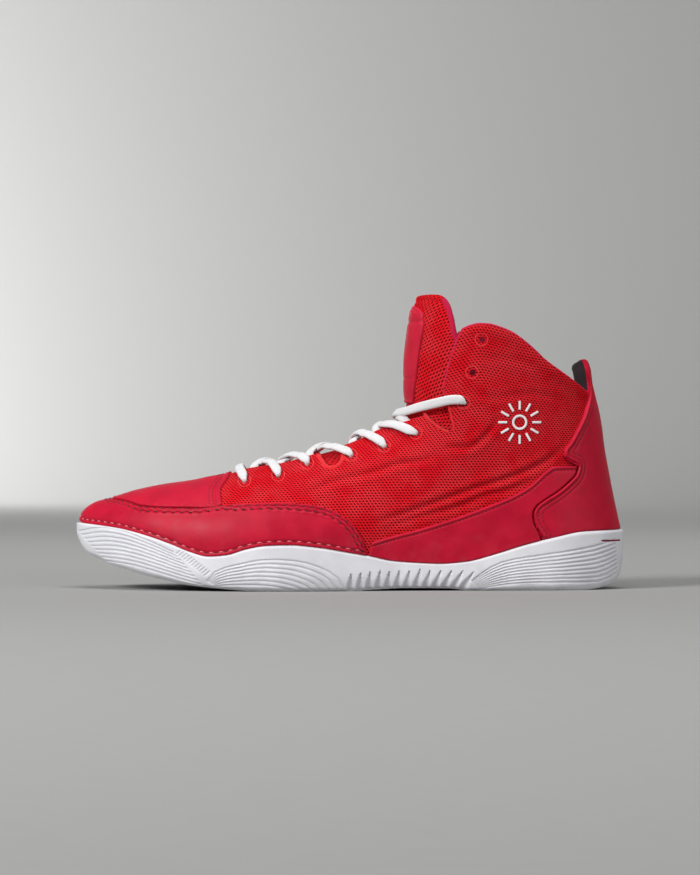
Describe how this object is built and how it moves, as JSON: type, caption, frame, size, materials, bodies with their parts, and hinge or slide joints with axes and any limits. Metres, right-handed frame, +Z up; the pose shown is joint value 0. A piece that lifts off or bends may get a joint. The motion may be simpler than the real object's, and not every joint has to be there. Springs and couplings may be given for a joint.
{
  "type": "wrestling shoe",
  "caption": "High-top wrestling shoe with a thin moulded cup sole, mesh upper, notched laced throat, tall tongue and heel pull tab.",
  "frame": {"origin": "centre of the bounding box on the floor", "axes": "+X from toe to heel, +Y to the inner side of the foot, +Z up"},
  "size_m": [0.291, 0.0962, 0.1556],
  "materials": {
    "mesh": "coarse knitted mesh",
    "smooth": "smooth synthetic with a low sheen",
    "rubber": "matt off-white",
    "lace": "flat woven white",
    "lining": "dark woven",
    "foam": "napped cover over foam"
  },
  "bodies": {
    "root": {"outsole": "rubber", "insole": "foam", "upper": "mesh", "tongue": "mesh", "tongue_label": "smooth", "toe_rand": "smooth", "vamp": "smooth", "quarter_panel_lateral": "smooth", "quarter_panel_medial": "smooth", "heel_counter": "smooth", "tab_lining": "lining", "lace_1": "lace", "lace_2": "lace", "lace_3": "lace", "lace_4": "lace", "lace_5": "lace", "lace_6": "lace", "lace_7": "lace"}
  },
  "joints": []
}
